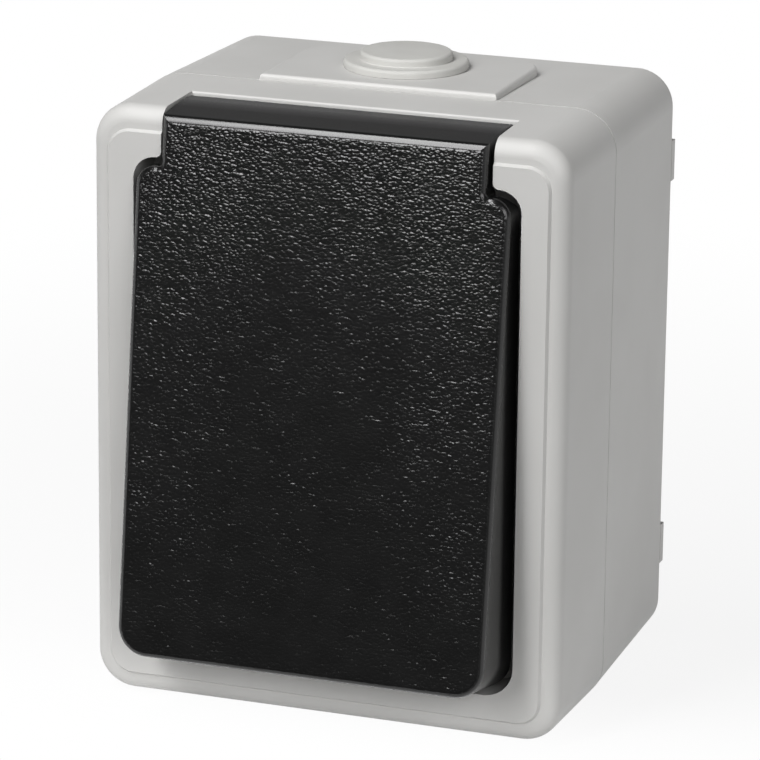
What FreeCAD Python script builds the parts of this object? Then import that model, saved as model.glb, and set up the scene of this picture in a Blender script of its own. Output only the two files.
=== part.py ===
import FreeCAD, Part
import math
import os
import re
import Sketcher

# Surface-mounted weatherproof socket with a sprung flap over an earthed plug well.
# Row frame in millimetres: X to the right, Y into the wall, Z up. The origin is on the
# back face of the rear base, midway between the two wall screws. A distance called "out"
# is measured from that back face towards the person who plugs in, so out = -Y.

# Driving dimensions
SIZES = {
    # Housing outline and its two halves
    "housing_width": 66.0,
    "housing_height": 81.4,
    "housing_corner": 5.6,
    "base_depth": 29.3,
    "cover_depth": 19.7,
    "seam_gap": 0.1,
    "base_draft": 1.21,
    "cover_draft": 1.28,
    "wall": 2.6,
    "inner_corner": 3.2,
    "back_wall": 2.6,
    "back_edge": 0.8,
    "seam_chamfer": 0.25,
    # Rim seal groove in the base
    "seal_land": 0.8,
    "seal_width": 1.0,
    "seal_depth": 1.0,
    # Standoff feet
    "foot_height": 2.0,
    "foot_width": 6.0,
    "foot_length": 5.6,
    "foot_inset": 0.75,
    "foot_end_inset": 13.3,
    "foot_edge": 0.6,
    # Cable entry plate and its stepped seal
    "plate_width": 33.0,
    "plate_rise": 0.8,
    "plate_back_inset": 8.0,
    "plate_corner": 4.5,
    "plate_round": 0.5,
    "entry_back_inset": 17.6,
    "entry_hole": 6.5,
    "entry_fit": 0.05,
    "grommet_flange": 8.4,
    "grommet_step": 1.1,
    "grommet_dome": 6.2,
    "grommet_dome_rise": 1.1,
    "grommet_skin": 1.0,
    "grommet_wall": 1.5,
    "grommet_lip": 7.4,
    "grommet_lip_height": 1.2,
    "grommet_bevel": 0.35,
    # Wall screw holes and drain mark
    "wall_screw_spacing": 60.0,
    "wall_screw_hole": 2.2,
    "wall_screw_rim": 4.6,
    "wall_screw_rim_height": 1.4,
    "drain_mark": 2.9,
    "drain_mark_line": 0.6,
    "drain_mark_depth": 1.2,
    # Front face, flap opening and hinge notch of the cover
    "front_round": 2.2,
    "panel_step": 0.45,
    "panel_side_band": 3.0,
    "panel_top_band": 3.7,
    "panel_bottom_band": 3.3,
    "panel_corner": 3.0,
    "panel_slope": 35.0,
    "front_wall": 2.2,
    "frame_side": 6.5,
    "frame_top": 6.8,
    "frame_bottom": 6.6,
    "opening_corner": 4.0,
    "opening_shoulder_corner": 3.0,
    "opening_depth": 7.0,
    "tray_floor": 1.8,
    "tray_wall": 1.6,
    "notch_step": 3.9,
    "notch_lip": 0.85,
    "notch_edge_round": 0.3,
    "hinge_well_floor": 1.8,
    "cheek": 2.0,
    # Cover screws
    "cover_screw_side_inset": 11.5,
    "cover_screw_end_inset": 13.2,
    "cover_boss": 3.4,
    "cover_screw": 1.7,
    "cover_screw_clearance": 0.25,
    "pilot_fit": 0.02,
    "pilot_spare": 2.0,
    "cover_screw_grip": 12.0,
    "cover_head": 3.1,
    "cover_head_height": 2.2,
    # Hinge
    "pivot_drop": 3.5,
    "pivot_inset": 5.4,
    "pin_radius": 1.0,
    "pin_fit": 0.02,
    "knuckle_fit": 0.06,
    "knuckle": 2.3,
    "knuckle_width": 3.2,
    "knuckle_gap": 14.0,
    "hinge_clearance": 0.15,
    # Flap
    "lid_tilt": 7.17,
    "lid_stand": 5.8,
    "lid_side_gap": 1.2,
    "lid_splay": 0.3,
    "lid_chin": 2.3,
    "lid_bottom_gap": 0.5,
    "lid_shoulder_gap": 0.8,
    "lid_corner": 4.0,
    "lid_shoulder_corner": 2.6,
    "lid_inner_corner": 0.5,
    "lid_rim_inset": 2.0,
    "lid_neck_gap": 0.5,
    "lid_top_drop": 0.4,
    "lid_crown_slope": 5.26,
    "lid_crown_radius": 30.0,
    "lid_relief_gap": 0.4,
    "lid_heel": 4.5,
    "lid_heel_round": 0.8,
    "lid_roof": 2.3,
    "lid_wall": 1.9,
    "lid_rim_wall": 1.5,
    "lid_edge_round": 0.9,
    "lid_bridge": 1.6,
    # Flap seal and its carrier ring
    "lid_ring_wall": 1.6,
    "lid_seal_width": 2.3,
    "lid_seal_height": 1.5,
    "lid_seal_gap": 0.15,
    "lid_seal_inset": 0.3,
    # Closing spring
    "spring_wire": 0.3,
    "spring_coil": 1.45,
    "spring_turns": 5.0,
    "spring_pitch": 0.9,
    "spring_room": 0.3,
    # Plug well and its moulding
    "well_radius": 19.5,
    "well_depth": 17.5,
    "well_floor": 3.0,
    "collar_wall": 3.0,
    "collar_inset": 2.6,
    "collar_gap": 0.3,
    "collar_rib": 1.6,
    "collar_rib_height": 1.5,
    "collar_seal_height": 1.5,
    "collar_bevel": 0.4,
    "guide_width": 5.2,
    "guide_height": 2.2,
    "guide_setback": 3.0,
    "pin_spacing": 19.0,
    "pin_hole": 2.75,
    "ear_gap": 1.0,
    "ear_width": 8.0,
    "ear_thickness": 2.5,
    "ear_corner": 3.0,
    "ear_screw_inset": 2.8,
    "ear_screw": 1.5,
    "ear_screw_clearance": 0.2,
    "ear_head": 2.4,
    "ear_head_height": 1.8,
    "ear_post": 2.9,
    "ear_screw_grip": 9.0,
    # Contact carrier
    "carrier_height": 18.0,
    "carrier_gap": 4.4,
    "carrier_wall": 1.6,
    "carrier_core": 4.2,
    "carrier_lid": 1.5,
    "carrier_corner": 2.0,
    "centre_screw": 1.45,
    "centre_screw_clearance": 0.15,
    "centre_screw_grip": 9.0,
    "centre_head": 2.7,
    "centre_head_height": 1.4,
    "centre_head_sink": 0.1,
    # Live and neutral contacts
    "jaw_bore": 2.45,
    "jaw_wall": 0.75,
    "jaw_slit": 1.0,
    "jaw_back_gap": 5.4,
    "jaw_root": 1.0,
    "jaw_setback": 0.5,
    "strip_thickness": 0.8,
    "strip_width": 6.0,
    "strip_side_gap": 0.7,
    "strip_bend": 1.0,
    "strip_exit_room": 0.2,
    "terminal_gap": 5.0,
    "terminal_z": 12.6,
    "terminal_width": 6.0,
    "terminal_height": 6.0,
    "terminal_depth": 7.2,
    "terminal_corner": 0.6,
    "wire_hole": 1.6,
    "terminal_screw": 1.5,
    "terminal_screw_length": 4.5,
    "terminal_head": 2.5,
    "terminal_head_height": 1.8,
    "terminal_head_lift": 1.2,
    "head_bevel": 0.5,
    "slot_width": 0.8,
    "slot_depth": 0.8,
    # Earth strap
    "earth_width": 6.0,
    "earth_thickness": 1.0,
    "earth_side_gap": 0.35,
    "earth_bulge": 1.7,
    "earth_root": 2.0,
    "earth_root_bend": 1.5,
    "earth_crest_bend": 1.0,
    "earth_tip_inset": 3.5,
    "earth_slot_fit": 0.15,
    "earth_tail_width": 5.0,
    # How far cutting forms run past a surface, and joined forms into each other
    "cut_margin": 1.0,
    "root": 0.2,
}

# Named values that other pieces share, worked out from the driving dimensions
SHARED = {
    "front": "base_depth + cover_depth",
    "half_width": "housing_width / 2",
    "half_height": "housing_height / 2",
    "plate_top": "half_height + plate_rise",
    "foot_rise": "half_height - foot_end_inset",
    "cover_screw_x": "half_width - cover_screw_side_inset",
    "cover_screw_z": "half_height - cover_screw_end_inset",
    "inner_half_width": "half_width - wall",
    "inner_half_height": "half_height - wall",
    "ear_reach": "inner_half_width - ear_gap",
    "ear_screw_x": "ear_reach - ear_screw_inset",
    "terminal_x": "inner_half_width - terminal_gap",
    "pivot_z": "housing_height / 2 - pivot_drop",
    "pivot_out": "base_depth + cover_depth - pivot_inset",
    "lid_top": "housing_height / 2 - lid_top_drop",
    "heel_reach": "lid_heel_round + sqrt((lid_heel - lid_heel_round) ^ 2"
                  " + (pivot_drop - lid_top_drop - lid_heel_round) ^ 2)",
    "notch_depth": "pivot_inset + heel_reach + hinge_clearance",
    "hinge_well_bottom": "pivot_z - heel_reach - hinge_clearance",
    "opening_width": "housing_width - 2 * frame_side",
    "opening_top": "half_height - frame_top",
    "opening_bottom": "half_height - frame_bottom",
    "notch_width": "opening_width - 2 * notch_step",
    "lid_width": "opening_width - 2 * lid_side_gap",
    "lid_shoulder": "opening_top - lid_shoulder_gap",
    "lid_rim_bottom": "opening_bottom - lid_bottom_gap",
    "lid_bottom": "lid_rim_bottom - lid_chin",
    "lid_neck_width": "notch_width - 2 * lid_neck_gap",
    "tray_back": "front - opening_depth - tray_floor",
    "collar_radius": "well_radius + collar_wall",
    "collar_front": "front - collar_inset",
    "well_bottom": "collar_front - well_depth",
    "floor_back": "well_bottom - well_floor",
    "carrier_width": "pin_spacing / 2 + jaw_bore + jaw_wall + terminal_x - terminal_width / 2",
    "carrier_back": "back_wall + carrier_gap + carrier_lid",
    "carrier_depth": "floor_back - carrier_back",
    "jaw_length": "carrier_depth - jaw_setback - jaw_back_gap",
    "ring_out": "collar_front + lid_seal_gap + lid_seal_height",
    "ring_radius": "collar_radius - lid_seal_inset",
    "rim_out": "front - lid_rim_inset",
    "strip_out": "floor_back - jaw_setback - jaw_length",
    "strap_back": "floor_back - earth_thickness",
    "earth_leg_z": "well_radius - earth_side_gap - earth_thickness / 2",
}

WORD = re.compile(r"[a-z_]{3,}[a-z_]*")
KNOWN = set(SIZES) | set(SHARED)

doc = FreeCAD.newDocument("weatherproof_socket")
sheet = doc.addObject("Spreadsheet::Sheet", "Sizes")
Vector = FreeCAD.Vector
Constraint = Sketcher.Constraint


def in_sheet(text):
    """Write an expression in the sheet's own terms: every known word gets its sheet name."""
    return WORD.sub(lambda word: "Sizes." + word[0] if word[0] in KNOWN else word[0], text)


def value(text):
    """Number that an expression on the sheet's names gives now."""
    return float(doc.Sizes.evalExpression(in_sheet(text)))


def fill_sheet():
    """Put the driving dimensions in the sheet as plain numbers and the shared ones as formulas."""
    for row, (name, number) in enumerate(SIZES.items(), start=1):
        sheet.set("A%d" % row, name)
        sheet.set("B%d" % row, str(number))
        sheet.setAlias("B%d" % row, name)
    first = len(SIZES) + 1
    for row, (name, formula) in enumerate(SHARED.items(), start=first):
        sheet.set("A%d" % row, name)
        sheet.set("B%d" % row, "=" + formula)
        sheet.setAlias("B%d" % row, name)
        doc.recompute()


def new_body(label):
    """Empty body for one moulded, stamped or cut piece."""
    body = doc.addObject("PartDesign::Body", label)
    body.Label = label
    return body


def new_sketch(body, name, plane, offset="0", tilt="0", shift=("0", "0")):
    """Sketch on an origin plane of its body, moved along the normal, shifted in plane and tilted.

    XZ_Plane looks at the front: X to the right, Z up, normal towards the person, so the offset
    is the distance out from the wall. YZ_Plane looks from the right: its X is the row's Y.
    """
    origin_plane = [o for o in body.Origin.OriginFeatures if o.Role == plane][0]
    sketch = body.newObject("Sketcher::SketchObject", name)
    sketch.AttachmentSupport = [(origin_plane, "")]
    sketch.MapMode = "FlatFace"
    if tilt != "0":
        sketch.AttachmentOffset = FreeCAD.Placement(Vector(0, 0, 1), FreeCAD.Rotation(Vector(-1, 0, 0), 1))
        sketch.setExpression("AttachmentOffset.Rotation.Angle", in_sheet(tilt))
    sketch.setExpression("AttachmentOffset.Base.z", in_sheet(offset))
    sketch.setExpression("AttachmentOffset.Base.x", in_sheet(shift[0]))
    sketch.setExpression("AttachmentOffset.Base.y", in_sheet(shift[1]))
    return sketch


def pin_down(sketch, geometry, point, across, along):
    """Tie one point of a sketch to two expressions, or to an axis where the expression is 0."""
    for kind, axis, text in (("DistanceX", -2, across), ("DistanceY", -1, along)):
        if text == "0":
            sketch.addConstraint(Constraint("PointOnObject", geometry, point, axis))
            continue
        index = sketch.addConstraint(Constraint(kind, -1, 1, geometry, point, value(text)))
        sketch.setExpression("Constraints[%d]" % index, in_sheet(text))


def outline(sketch, corners):
    """Closed outline through corners (across, along, radius), each an expression.

    A corner with a radius is drawn as a tangent arc, and its sharp point is kept as construction
    geometry so that the outline stays tied to it.
    """
    points = [Vector(value(c[0]), value(c[1]), 0) for c in corners]
    radii = [value(c[2]) if len(c) > 2 else 0 for c in corners]
    count = len(points)
    starts, ends, arcs = [], [], []
    for i, corner in enumerate(points):
        back = (points[i - 1] - corner).normalize()
        ahead = (points[(i + 1) % count] - corner).normalize()
        if not radii[i]:
            starts.append(corner)
            ends.append(corner)
            arcs.append(None)
            continue
        half = back.getAngle(ahead) / 2
        cut = radii[i] / math.tan(half)
        centre = corner + (back + ahead).normalize() * (radii[i] / math.sin(half))
        middle = centre + (corner - centre).normalize() * radii[i]
        starts.append(corner + ahead * cut)
        ends.append(corner + back * cut)
        arcs.append((ends[i], middle, starts[i]))
    lines = [sketch.addGeometry(Part.LineSegment(starts[i], ends[(i + 1) % count]), False)
             for i in range(count)]
    for i in range(count):
        before, after = lines[i - 1], lines[i]
        if arcs[i] is None:
            sketch.addConstraint(Constraint("Coincident", before, 2, after, 1))
            pin_down(sketch, after, 1, corners[i][0], corners[i][1])
            continue
        arc = sketch.addGeometry(Part.Arc(*arcs[i]), False)
        first = 1 if (sketch.getPoint(arc, 1) - arcs[i][0]).Length < 1e-6 else 2
        sketch.addConstraint(Constraint("Tangent", before, 2, arc, first))
        sketch.addConstraint(Constraint("Tangent", after, 1, arc, 3 - first))
        index = sketch.addConstraint(Constraint("Radius", arc, radii[i]))
        sketch.setExpression("Constraints[%d]" % index, in_sheet(corners[i][2]))
        sharp = sketch.addGeometry(Part.Point(points[i]), True)
        sketch.addConstraint(Constraint("PointOnObject", sharp, 1, before))
        sketch.addConstraint(Constraint("PointOnObject", sharp, 1, after))
        pin_down(sketch, sharp, 1, corners[i][0], corners[i][1])


def circle(sketch, radius, across="0", along="0"):
    """Circle tied to its centre and radius."""
    centre = Vector(value(across), value(along), 0)
    index = sketch.addGeometry(Part.Circle(centre, Vector(0, 0, 1), value(radius)), False)
    pin_down(sketch, index, 3, across, along)
    constraint = sketch.addConstraint(Constraint("Radius", index, value(radius)))
    sketch.setExpression("Constraints[%d]" % constraint, in_sheet(radius))


def block(left, right, bottom, top, radius=None):
    """Corners of an upright rectangle, all rounded alike where a radius is given."""
    corners = [(right, bottom), (right, top), (left, top), (left, bottom)]
    return [c + (radius,) for c in corners] if radius else corners


def centred(half_wide, half_tall, radius=None):
    """Corners of a rectangle centred on the sketch's origin."""
    return block("-(%s)" % half_wide, half_wide, "-(%s)" % half_tall, half_tall, radius)


def pad(body, name, sketch, length, inward=False, middle=False, taper=None):
    """Add a pad that grows towards the sketch's front, or inward."""
    feature = body.newObject("PartDesign::Pad", name)
    feature.Profile = sketch
    feature.Reversed = inward
    feature.Midplane = middle
    feature.setExpression("Length", in_sheet(length))
    if taper:
        feature.setExpression("TaperAngle", in_sheet(taper))
    return feature


def pocket(body, name, sketch, length, outward=False, middle=False, taper=None):
    """Cut a pocket that goes in from the sketch, or outward from it."""
    feature = body.newObject("PartDesign::Pocket", name)
    feature.Profile = sketch
    feature.Reversed = outward
    feature.Midplane = middle
    feature.setExpression("Length", in_sheet(length))
    if taper:
        feature.setExpression("TaperAngle", in_sheet(taper))
    return feature


def edges_where(feature, test):
    """Names of the edges of a feature whose end points and middle all pass a test."""
    found = []
    for number, edge in enumerate(feature.Shape.Edges, start=1):
        middle = edge.valueAt((edge.FirstParameter + edge.LastParameter) / 2)
        if all(test(p) for p in [v.Point for v in edge.Vertexes] + [middle]):
            found.append("Edge%d" % number)
    return found


def round_edges(body, name, feature, test, radius, kind="PartDesign::Fillet"):
    """Round, or chamfer, the edges of a feature that pass a test."""
    doc.recompute()
    rounding = body.newObject(kind, name)
    rounding.Base = (feature, edges_where(feature, test))
    rounding.setExpression("Size" if kind.endswith("Chamfer") else "Radius", in_sheet(radius))
    doc.recompute()
    return rounding


def near(a, b, room=1e-3):
    """True where two lengths agree within modelling error."""
    return abs(a - b) < room


def rear_base():
    """Back half of the housing: drafted tub, standoff feet, cable entry plate, bosses and posts."""
    body = new_body("rear_base")
    shell = new_sketch(body, "base_outline", "XZ_Plane", "base_depth")
    outline(shell, centred("half_width", "half_height", "housing_corner"))
    tub = pad(body, "base_shell", shell, "base_depth", inward=True, taper="-base_draft")
    round_edges(body, "base_back_edge", tub, lambda p: near(p.y, 0), "back_edge", "PartDesign::Chamfer")

    plate = new_sketch(body, "entry_plate_outline", "XY_Plane", "inner_half_height")
    outline(plate, [("plate_width / 2", "-base_depth"),
                    ("plate_width / 2", "-plate_back_inset", "plate_corner"),
                    ("-plate_width / 2", "-plate_back_inset", "plate_corner"),
                    ("-plate_width / 2", "-base_depth")])
    plate_pad = pad(body, "entry_plate", plate, "plate_top - inner_half_height")
    top = value("plate_top")
    round_edges(body, "entry_plate_edge", plate_pad, lambda p: near(p.z, top), "plate_round")

    hollow = new_sketch(body, "base_hollow_outline", "XZ_Plane", "base_depth")
    outline(hollow, centred("inner_half_width", "inner_half_height", "inner_corner"))
    pocket(body, "base_hollow", hollow, "base_depth - back_wall", taper="-base_draft")

    groove = new_sketch(body, "seal_groove_outline", "XZ_Plane", "base_depth")
    outline(groove, seal_line("seal_land"))
    outline(groove, seal_line("seal_land + seal_width"))
    pocket(body, "seal_groove", groove, "seal_depth")

    bosses = new_sketch(body, "cover_boss_circles", "XZ_Plane", "back_wall / 2")
    for side in ("", "-"):
        circle(bosses, "cover_boss", side + "cover_screw_x", side + "cover_screw_z")
    pad(body, "cover_bosses", bosses, "base_depth - back_wall / 2")
    pilots = new_sketch(body, "cover_pilot_circles", "XZ_Plane", "base_depth")
    for side in ("", "-"):
        circle(pilots, "cover_screw + pilot_fit", side + "cover_screw_x", side + "cover_screw_z")
    pocket(body, "cover_pilots", pilots, "cover_screw_grip + pilot_spare")

    posts = new_sketch(body, "ear_post_circles", "XZ_Plane", "back_wall / 2")
    for side in ("", "-"):
        circle(posts, "ear_post", side + "ear_screw_x")
    pad(body, "ear_posts", posts, "floor_back - back_wall / 2")
    holes = new_sketch(body, "ear_pilot_circles", "XZ_Plane", "floor_back")
    for side in ("", "-"):
        circle(holes, "ear_screw + pilot_fit", side + "ear_screw_x")
    pocket(body, "ear_pilots", holes, "ear_screw_grip + pilot_spare")

    rims = new_sketch(body, "wall_screw_rim_circles", "XZ_Plane", "back_wall / 2")
    through = new_sketch(body, "wall_screw_circles", "XZ_Plane", "back_wall + wall_screw_rim_height")
    for side in ("", "-"):
        circle(rims, "wall_screw_rim", "0", side + "wall_screw_spacing / 2")
        circle(through, "wall_screw_hole", "0", side + "wall_screw_spacing / 2")
    pad(body, "wall_screw_rims", rims, "back_wall / 2 + wall_screw_rim_height")
    pocket(body, "wall_screw_holes", through, "back_wall + wall_screw_rim_height + cut_margin")

    entry = new_sketch(body, "entry_circle", "XY_Plane", "plate_top + cut_margin")
    circle(entry, "entry_hole", "0", "-entry_back_inset")
    pocket(body, "entry_hole_cut", entry, "plate_top + cut_margin - inner_half_height + wall")

    drain = new_sketch(body, "drain_mark_circles", "XY_Plane", "-half_height")
    circle(drain, "drain_mark", "0", "-entry_back_inset")
    circle(drain, "drain_mark - drain_mark_line", "0", "-entry_back_inset")
    pocket(body, "drain_mark_line_cut", drain, "drain_mark_depth", outward=True)

    feet = new_sketch(body, "foot_outlines", "XZ_Plane")
    outer = "half_width - foot_inset"
    for side in ("", "-"):
        for up in ("", "-"):
            low = "%sfoot_rise - foot_length / 2" % up
            high = "%sfoot_rise + foot_length / 2" % up
            ends = [side + "(%s)" % outer, side + "(%s - foot_width)" % outer]
            outline(feet, block(ends[0], ends[1], low, high))
    stands = pad(body, "feet", feet, "foot_height", inward=True)
    back = value("foot_height")
    round_edges(body, "foot_edges", stands, lambda p: near(p.y, back), "foot_edge",
                "PartDesign::Chamfer")
    return body


def seal_line(inset):
    """Corners of the housing outline drawn in by an inset, for the rim seal and its groove."""
    return centred("half_width - (%s)" % inset, "half_height - (%s)" % inset,
                   "housing_corner - (%s)" % inset)


def cable_grommet():
    """Soft stepped seal that snaps into the entry hole and is pierced by the cable."""
    body = new_body("cable_grommet")
    half = new_sketch(body, "grommet_section", "YZ_Plane", shift=("-entry_back_inset", "0"))
    neck = "entry_hole - entry_fit"
    flange_top = "plate_top + grommet_step"
    dome_top = "plate_top + grommet_step + grommet_dome_rise"
    ceiling_fall = "(base_depth - entry_back_inset + grommet_lip) * tan(base_draft * 1deg)"
    under = "(inner_half_height - %s)" % ceiling_fall
    lip_low = under + " - grommet_lip_height"
    bore = "grommet_dome - grommet_wall"
    outline(half, [("0", dome_top), ("grommet_dome - grommet_bevel", dome_top),
                   ("grommet_dome", dome_top + " - grommet_bevel"), ("grommet_dome", flange_top),
                   ("grommet_flange - grommet_bevel", flange_top),
                   ("grommet_flange", flange_top + " - grommet_bevel"), ("grommet_flange", "plate_top"),
                   (neck, "plate_top"), (neck, under), ("grommet_lip", under),
                   ("grommet_lip", lip_low), (bore, lip_low),
                   (bore, dome_top + " - grommet_skin"), ("0", dome_top + " - grommet_skin")])
    turned = body.newObject("PartDesign::Revolution", "grommet_turned")
    turned.Profile = half
    turned.ReferenceAxis = (half, ["V_Axis"])
    turned.Angle = 360
    return body


def housing_gasket():
    """Square seal in the groove of the base's rim."""
    body = new_body("housing_gasket")
    ring = new_sketch(body, "rim_seal_outline", "XZ_Plane", "base_depth - seal_depth")
    outline(ring, seal_line("seal_land + entry_fit"))
    outline(ring, seal_line("seal_land + seal_width - entry_fit"))
    pad(body, "rim_seal", ring, "seal_depth")
    return body


def opening_corners():
    """Outline of the flap opening with the hinge notch that runs out through the top."""
    beyond = "half_height + cut_margin"
    return [("opening_width / 2", "-opening_bottom", "opening_corner"),
            ("opening_width / 2", "opening_top", "opening_shoulder_corner"),
            ("notch_width / 2", "opening_top", "notch_lip"),
            ("notch_width / 2", beyond),
            ("-notch_width / 2", beyond),
            ("-notch_width / 2", "opening_top", "notch_lip"),
            ("-opening_width / 2", "opening_top", "opening_shoulder_corner"),
            ("-opening_width / 2", "-opening_bottom", "opening_corner")]


def cover_cavity_corners():
    """Hollow behind the front face, which runs round the tray but stops at the hinge cheeks."""
    side = "opening_width / 2 + tray_wall"
    shoulder = "opening_top + tray_wall"
    cheek_side = "notch_width / 2 + cheek"
    tray_corner = "opening_corner + tray_wall"
    right = [(cheek_side, shoulder), (cheek_side, "inner_half_height"),
             ("inner_half_width", "inner_half_height", "inner_corner"),
             ("inner_half_width", "-inner_half_height", "inner_corner")]
    left = [("-(%s)" % c[0],) + c[1:] for c in reversed(right)]
    low = "-(opening_bottom + tray_wall)"
    inside = [("-(%s)" % side, shoulder, "tray_wall"), ("-(%s)" % side, low, tray_corner),
              (side, low, tray_corner), (side, shoulder, "tray_wall")]
    return right + left + inside


def cover_frame():
    """Front half of the housing: drafted shell, raised panel, flap tray, hinge well and bosses."""
    body = new_body("cover_frame")
    shell = new_sketch(body, "cover_outline", "XZ_Plane", "base_depth")
    outline(shell, centred("half_width", "half_height", "housing_corner"))
    block_pad = pad(body, "cover_shell", shell, "cover_depth - panel_step", taper="-cover_draft")
    edge_y = -value("front - panel_step")
    rounded = round_edges(body, "cover_front_edge", block_pad, lambda p: near(p.y, edge_y),
                          "front_round")
    seam = -value("base_depth")
    round_edges(body, "cover_seam_edge", rounded, lambda p: near(p.y, seam), "seam_chamfer",
                "PartDesign::Chamfer")

    panel = new_sketch(body, "panel_outline", "XZ_Plane", "front - panel_step")
    spread = "panel_step * tan(panel_slope * 1deg)"
    half = "half_width - panel_side_band + %s" % spread
    outline(panel, block("-(%s)" % half, half, "-(half_height - panel_bottom_band + %s)" % spread,
                         "half_height - panel_top_band + %s" % spread, "panel_corner + %s" % spread))
    pad(body, "raised_panel", panel, "panel_step", taper="-panel_slope")

    inner = new_sketch(body, "cover_inside_outline", "XZ_Plane", "base_depth")
    outline(inner, centred("inner_half_width", "inner_half_height", "inner_corner"))
    pocket(body, "cover_inside", inner, "front - notch_depth - hinge_well_floor - base_depth",
           outward=True)
    lower = new_sketch(body, "cover_lower_outline", "XZ_Plane", "base_depth")
    ledge = "hinge_well_bottom - hinge_well_floor"
    outline(lower, [("inner_half_width", "-inner_half_height", "inner_corner"),
                    ("inner_half_width", ledge), ("-inner_half_width", ledge),
                    ("-inner_half_width", "-inner_half_height", "inner_corner")])
    pocket(body, "cover_lower", lower, "tray_back - base_depth", outward=True)
    ring = new_sketch(body, "cover_cavity_outline", "XZ_Plane", "base_depth")
    outline(ring, cover_cavity_corners())
    pocket(body, "cover_cavity", ring, "cover_depth - front_wall", outward=True)

    bosses = new_sketch(body, "screw_tube_circles", "XZ_Plane", "base_depth + seam_gap")
    for side in ("", "-"):
        circle(bosses, "cover_boss", side + "cover_screw_x", side + "cover_screw_z")
    pad(body, "screw_tubes", bosses, "tray_back + tray_floor / 2 - base_depth - seam_gap")

    opening = new_sketch(body, "opening_outline", "XZ_Plane", "front")
    outline(opening, opening_corners())
    pocket(body, "flap_opening", opening, "opening_depth")
    well = new_sketch(body, "hinge_well_outline", "XZ_Plane", "front")
    outline(well, block("-notch_width / 2", "notch_width / 2", "hinge_well_bottom",
                        "half_height + cut_margin"))
    cut = pocket(body, "hinge_well", well, "notch_depth")
    back = -value("front - notch_depth")
    high = value("half_height - 2 * notch_edge_round")
    side = value("notch_width / 2 + root")
    round_edges(body, "notch_back_edge", cut,
                lambda p: near(p.y, back) and p.z > high and abs(p.x) < side, "notch_edge_round")

    collar = new_sketch(body, "collar_circle", "XZ_Plane", "front")
    circle(collar, "collar_radius + collar_gap")
    pocket(body, "collar_hole", collar, "opening_depth + tray_floor + cut_margin")
    seal = new_sketch(body, "seal_way_circle", "XZ_Plane", "tray_back")
    circle(seal, "collar_radius + collar_rib + collar_gap")
    pocket(body, "seal_way", seal, "tray_back - base_depth")
    shanks = new_sketch(body, "screw_clearance_circles", "XZ_Plane", "front")
    for side in ("", "-"):
        circle(shanks, "cover_screw + cover_screw_clearance",
               side + "cover_screw_x", side + "cover_screw_z")
    pocket(body, "screw_clearance", shanks, "cover_depth")
    bore = new_sketch(body, "pin_bore_circle", "YZ_Plane")
    circle(bore, "pin_radius + pin_fit", "-pivot_out", "pivot_z")
    pocket(body, "pin_bores", bore, "notch_width + 2 * cheek + cut_margin", middle=True)
    return body


def loft(body, name, first, second, remove=False):
    """Straight loft between two sketches, added or removed."""
    feature = body.newObject("PartDesign::SubtractiveLoft" if remove else "PartDesign::AdditiveLoft", name)
    feature.Profile = first
    feature.Sections = [second]
    feature.Ruled = True
    return feature


def lid_plane(body, name, behind="0"):
    """Sketch on the flap's tilted front plane, or on one that lies behind it by a wall."""
    stand = "front + lid_stand - (%s) / cos(lid_tilt * 1deg)" % behind
    return new_sketch(body, name, "XZ_Plane", stand, tilt="lid_tilt")


def trim_front(body, name):
    """Cut away all that stands in front of the flap's tilted face."""
    ahead = lid_plane(body, name + "_outline")
    outline(ahead, centred("housing_width / 2", "housing_height"))
    return pocket(body, name, ahead, "housing_width", outward=True)


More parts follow.
